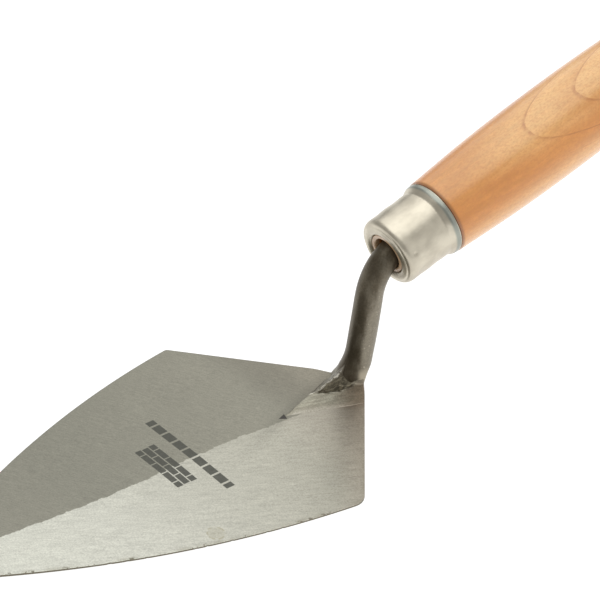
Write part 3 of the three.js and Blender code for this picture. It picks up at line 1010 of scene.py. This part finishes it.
def ground_steel():
    """The blade: two ground faces above, painted lighter and darker as painted reflection, one plain one
    below, and a darker cut edge round them.
    """
    s = Shader("ground_steel")
    normal_z = s.split(s.node("ShaderNodeTexCoord").outputs["Normal"])[2]
    above = s.step(normal_z, -0.3, 0.3)
    far = far_share(s)
    lines = grinding_lines(s, far)
    texture = ground_texture(s, far, lines)

    # Painted reflection: the near ground face lighter than the far one
    colour = s.mix(far, face_reflection_colour(s, NEAR_FACE_REFLECTION), face_reflection_colour(s, FAR_FACE_REFLECTION))
    colour = s.shade(heat_tint_and_shade(s, colour), texture)
    colour = edge_wear(s, colour)
    colour = s.paint(colour, SMUDGE, smudge_mask(s), 0.6)
    # Painted shadow in the pit where the weld begins
    pit = s.times(pit_shadow_mask(s), above)
    colour = s.mix(pit, colour, PIT_SHADOW)
    ink = s.times(brick_print(s), s.scale(s.noise(0.9), 0.82, 1.0), above)
    colour = s.mix(ink, colour, PRINT_INK)
    colour = s.mix(above, s.shade(UNDERSIDE, texture), colour)
    colour = s.mix(s.step(s.size(normal_z), 0.85, 0.4), colour, CUT_EDGE)
    return s.set(
        Base_Color=colour,
        Metallic=s.minus(1.0, s.larger(s.times(ink, 0.9), s.times(pit, 0.8))),
        Roughness=s.larger(s.scale(lines, 0.36, 0.48), s.times(ink, 0.7)),
        Normal=s.bump(lines, 0.012, 0.6),
    )


def forged_steel():
    """The bar: a dark forged skin, painted paler and specked on one side of the neck for worn scale and for
    painted light from that side, and worn at its foot.
    """
    s = Shader("forged_steel")
    patches = s.noise(2.6, 4.0, 0.6, (1, 1, 2.5), 1.0)
    fine = s.noise(0.5, 3.0, 0.6, seed=2.0)
    middle = (BAR_LOW[0], 0)
    rubbed_and_lit_side = s.reach(middle, RUBBED_AND_LIT_WAY)
    back_side = s.sway(patches, 2.0, s.reach(middle, BACK_WAY))
    not_back = s.step(back_side, 4.6, 2.2)
    uneven = s.sway(patches, 3.0, rubbed_and_lit_side)
    uneven = s.math("MULTIPLY_ADD", s.step(s.z, 20.0, 32.0), -2.2, uneven)
    # Paler side of the neck: worn scale, and painted light from that side
    rubbed_and_lit = s.times(s.step(uneven, -0.4, 2.0), s.step(s.z, 40.0, 30.0), not_back)

    colour = s.mix(s.step(patches, 0.35, 0.68), SKIN_DARK, SKIN_LIGHT)
    # Painted light and worn scale on one side of the neck
    colour = s.paint(colour, SKIN_RUBBED_AND_LIT, rubbed_and_lit, 0.7)
    colour = s.shade(colour, s.scale(fine, 0.56, 1.44))
    specks = s.step(s.noise(0.7, 1.0, seed=3.0), 0.64, 0.72)
    colour = s.paint(colour, SKIN_SPECK, s.times(specks, rubbed_and_lit), 0.5)
    foot = s.step(s.math("MULTIPLY_ADD", patches, 3.0, s.z), 9.5, 6.5)
    worn = s.times(foot, not_back, s.step(rubbed_and_lit_side, -0.2, 0.8))
    colour = s.paint(colour, SKIN_WORN, worn, 0.85)
    return s.set(
        Base_Color=colour,
        Metallic=0.75,
        Roughness=s.scale(patches, 0.32, 0.5),
        Normal=s.bump(s.plus(fine, s.times(patches, 2.0)), 0.03, 0.7),
    )


def flank_colour(s, lines):
    """The weld's ground flank: the near face's colour with its painted reflection along its foot, paler above
    and brown by the heel.
    """
    bands = s.noise(1.1, 2.0, 0.55, (6, 1, 1), 2.0, -16)
    colour = s.mix(s.step(bands, 0.36, 0.62), FLANK_DARK, FLANK_LIGHT)
    low = s.times(s.step(s.attribute("height"), 0.5, 0.05), s.step(s.attribute("below"), 0.2, 1.2))
    colour = s.paint(colour, face_reflection_colour(s, NEAR_FACE_REFLECTION), low, 0.9)
    heated = s.times(s.step(s.x, 20.0, 29.0), s.step(s.y, -1.5, -4.5))
    colour = s.paint(colour, FLANK_HEATED, heated, 0.75)
    speckle = s.noise(0.45, 2.0, 0.6, seed=5.0)
    fine = s.plus(s.times(lines, 0.35), s.times(speckle, 0.65))
    return s.shade(colour, s.sway(fine, 1.5, 0.97))


def rib_highlight(s, creases):
    """A painted highlight: the broken bright line along the rib's edge, where it catches the light."""
    off_crest = s.minus(s.sway(creases, 0.5, s.attribute("below")), 0.03)
    thin = s.step(s.size(off_crest), 0.19, 0.07)
    unbroken = s.step(s.noise(0.9, 2.0, 0.6, seed=6.0), 0.4, 0.52)
    return s.times(thin, unbroken, s.band(s.x, 15.5, 17.5, 27.0, 29.5))


def weld_steel():
    """The weld: a ground flank, a rough pocket painted with shade, a dark facet beyond the rib, and a painted
    highlight along the rib's edge.
    """
    s = Shader("weld_steel")
    lines = s.noise(0.45, 3.0, 0.6, (9, 1, 1), 1.0, -16)
    blotches = s.noise(1.5, 3.0, 0.6, seed=3.0)
    creases = s.noise(0.6, 3.0, 0.6, (5, 1, 1), 4.0, 18)

    colour = flank_colour(s, lines)
    facet = s.times(s.step(s.attribute("below"), 0.0, -0.5), s.step(s.x, 15.5, 18.0))
    facet_colour = s.mix(s.step(creases, 0.38, 0.6), FACET_DARK, FACET_LIGHT)
    colour = s.paint(colour, facet_colour, facet, 0.9)
    # Painted shade in the pocket, which is also rougher
    in_pocket = s.step(s.sway(blotches, 1.6, s.attribute("pocket")), 0.1, 0.9)
    dark = s.times(in_pocket, s.scale(blotches, 0.75, 1.0))
    pocket_shade_colour = s.mix(s.step(creases, 0.4, 0.62), POCKET_SHADE_DARK, POCKET_SHADE_LIGHT)
    colour = s.mix(dark, colour, pocket_shade_colour)
    colour = s.paint(colour, FOOT_TOP, s.step(s.attribute("height"), 2.4, 4.4), 0.85)
    # Painted highlight along the rib's edge
    colour = s.paint(colour, RIB_HIGHLIGHT, rib_highlight(s, creases), 0.9)
    return s.set(
        Base_Color=colour,
        Metallic=0.9,
        Roughness=s.scale(s.larger(dark, lines), 0.34, 0.5),
        Normal=s.bump(s.plus(s.plus(lines, creases), blotches), 0.05, 0.7),
    )


def ferrule_steel():
    """The ferrule: cloudy plating, with a painted dark reflection as a band round the flared back, and
    painted shade in the front crease.
    """
    s = Shader("ferrule_steel", on_grip=True)
    clouds = s.noise(4.5, 3.0, 0.55, (1, 1, 1.6), 1.0)
    fine = s.noise(0.8, 3.0, 0.6, seed=2.0)
    colour = s.mix(s.step(clouds, 0.35, 0.65), PLATING_DARK, PLATING_LIGHT)
    # Painted reflection: a dark band round the flared back
    colour = s.paint(colour, PLATING_BAND_REFLECTION, s.band(s.z, 16.5, 17.2, 18.1, 18.3), 0.75)
    # Painted shade in the crease behind the front ring
    colour = s.paint(colour, PLATING_CREASE_SHADE, s.band(s.z, 0.3, 0.75, 0.95, 1.5), 0.12)
    return s.set(
        Base_Color=colour,
        Metallic=1.0,
        Roughness=s.scale(clouds, 0.3, 0.42),
        Normal=s.bump(s.plus(s.times(clouds, 3.0), fine), 0.03, 0.6),
    )


def facing(s, degrees):
    """How far a point stands out towards one side of the handle."""
    angle = math.radians(degrees)
    return s.reach((0, 0), (math.cos(angle), math.sin(angle)))


def growth_layers(s, toward):
    """Counts the growth layers. They are cut at a slant, so each one shows as a long oval."""
    warp = s.noise(18.0, 1.0, 0.5, (1, 1, 1.6), 1.0)
    ripple = s.noise(5.0, 2.0, 0.5, (1, 1, 2.0), 7.0)
    depth = s.math("MULTIPLY_ADD", s.z, GRAIN_SLANT, toward)
    depth = s.sway(warp, 0.6, s.sway(ripple, 0.5, depth))
    return s.math("DIVIDE", s.minus(depth, GRAIN_START), GRAIN_PITCH)


def wood_body(s, layers):
    """The wood's colour, paler in the outer growth layers on top, which also stands for painted top light,
    and with a painted sheen low on one side.
    """
    broad = s.noise(7.0, 3.0, 0.55, (1, 1, 5), 2.0)
    colour = s.mix(s.step(broad, 0.3, 0.7), WOOD_DARK, WOOD_LIGHT)
    toward_top = s.sway(broad, 5.0, facing(s, SAPWOOD_AND_TOP_LIGHT_FACE))
    # Pale outer wood on top, painted paler also as top light
    sapwood_and_top_light = s.times(s.step(toward_top, 7.6, 12.8), s.scale(s.step(layers, -2.0, 0.5), 0.35, 1.0))
    colour = s.paint(colour, WOOD_SAPWOOD_AND_SHEEN, sapwood_and_top_light, 0.85)
    # Painted sheen low on one side
    lower_sheen = s.step(facing(s, LOWER_SHEEN_FACE), 7.0, 12.0)
    return s.paint(colour, WOOD_SAPWOOD_AND_SHEEN, lower_sheen, 0.6)


def varnished_wood():
    """The handle: hardwood with growth layers, streaks and pores, under clear varnish."""
    s = Shader("varnished_wood", on_grip=True)
    toward = facing(s, GRAIN_FACE)
    layers = growth_layers(s, toward)
    layer = s.math("FRACT", layers)
    streaks = s.noise(0.9, 3.0, 0.6, (1, 1, 14), 3.0)
    mottle = s.noise(1.6, 2.0, 0.5, (1, 1, 2.0), 5.0)
    pores = s.step(s.noise(0.5, 2.0, 0.6, (1, 1, 1.8), 6.0), 0.6, 0.34)
    flecks = s.step(s.noise(0.42, 1.0, 0.5, (1, 1, 3.5), 4.0), 0.66, 0.74)

    colour = wood_body(s, layers)
    darker_side = s.times(s.step(layer, 0.25, 0.95), s.step(layers, -0.3, 0.1))
    colour = s.paint(colour, WOOD_DARK, darker_side, 0.25)
    colour = s.shade(colour, s.scale(streaks, 0.9, 1.1))
    colour = s.shade(colour, s.scale(mottle, 0.86, 1.14))
    colour = s.paint(colour, WOOD_PORE, pores, 0.34)

    # A thin dark line ends each layer, faint round the sides of the handle
    shown = s.larger(s.step(layers, -0.3, -0.1), s.times(s.step(toward, 9.5, 6.0), 0.45))
    lines = s.times(s.band(layer, 0.9, 0.975, 0.985, 1.0), shown, s.step(mottle, 0.3, 0.6))
    colour = s.paint(colour, WOOD_LINE, lines, 0.5)
    colour = s.paint(colour, WOOD_PORE, flecks, 0.3)

    # End grain shows in the ferrule's mouth, and a painted shadow runs as a dark line along the ferrule's
    # back edge
    colour = s.paint(colour, WOOD_END, s.step(s.z, 2.6, 1.9), 0.85)
    from_ferrule = s.size(s.minus(s.z, FERRULE_LENGTH + 0.1))
    colour = s.paint(colour, WOOD_GAP_SHADOW, s.step(from_ferrule, 1.3, 0.2), 0.8)
    return s.set(
        Base_Color=colour,
        Roughness=s.scale(mottle, 0.4, 0.52),
        Normal=s.bump(s.plus(streaks, flecks), 0.02, 0.5),
        Coat_Weight=0.9,
        Coat_Roughness=0.22,
    )


# ---- Studio ----


def make_camera():
    back = Vector((
        math.sin(CAMERA_AZIMUTH) * math.cos(CAMERA_ELEVATION),
        -math.cos(CAMERA_AZIMUTH) * math.cos(CAMERA_ELEVATION),
        math.sin(CAMERA_ELEVATION),
    ))
    camera = bpy.data.objects.new("camera", bpy.data.cameras.new("camera"))
    camera.data.sensor_width = SENSOR
    camera.data.lens = CAMERA_LENS
    camera.data.clip_start = 0.05
    camera.data.clip_end = 20
    camera.rotation_mode = "QUATERNION"
    level = (-back).to_track_quat("-Z", "Y")
    camera.rotation_quaternion = Matrix.Rotation(CAMERA_ROLL, 3, back).to_quaternion() @ level
    camera.location = (CAMERA_TARGET + back * CAMERA_DISTANCE) * MM
    bpy.context.scene.collection.objects.link(camera)
    bpy.context.scene.camera = camera


def make_floor():
    """A wide glowing white table, so that the trowel lies on white with hardly a shadow."""
    mesh = bpy.data.meshes.new("floor")
    half, below = FLOOR_HALF * MM, -FLOOR_DROP * MM
    corners = [(-half, -half), (half, -half), (half, half), (-half, half)]
    mesh.from_pydata([(x, y, below) for x, y in corners], [], [(0, 1, 2, 3)])
    mesh.materials.append(Shader("white_table").set(
        Base_Color=(0.3, 0.3, 0.3),
        Roughness=0.9,
        Emission_Color=(1.0, 1.0, 1.0),
        Emission_Strength=FLOOR_GLOW,
    ))
    floor = bpy.data.objects.new("floor", mesh)
    bpy.context.scene.collection.objects.link(floor)


def make_world():
    """An even pale background, which also lights the trowel softly from all round."""
    world = bpy.data.worlds.new("studio")
    world.use_nodes = True
    background = world.node_tree.nodes["Background"]
    background.inputs["Color"].default_value = (*WORLD_COLOUR, 1)
    background.inputs["Strength"].default_value = WORLD_STRENGTH
    bpy.context.scene.world = world


def make_panel(name, place, size, glow):
    """A soft rectangular lamp at a place, facing the trowel."""
    lamp = bpy.data.lights.new(name, "AREA")
    lamp.shape = "RECTANGLE"
    lamp.size, lamp.size_y = (side * MM for side in size)
    lamp.energy = glow * math.pi * lamp.size * lamp.size_y
    panel = bpy.data.objects.new(name, lamp)
    panel.location = Vector(place) * MM
    panel.rotation_mode = "QUATERNION"
    panel.rotation_quaternion = (Vector(PANEL_AIM) - Vector(place)).to_track_quat("-Z", "Y")
    bpy.context.scene.collection.objects.link(panel)


def make_studio():
    make_camera()
    make_floor()
    make_world()
    for panel in PANELS:
        make_panel(*panel)
    scene = bpy.context.scene
    scene.view_settings.view_transform = "Standard"
    scene.view_settings.look = "None"


make_blade(ground_steel())
make_tang(forged_steel())
make_weld(weld_steel())
make_ferrule(ferrule_steel())
make_handle(varnished_wood())
make_studio()
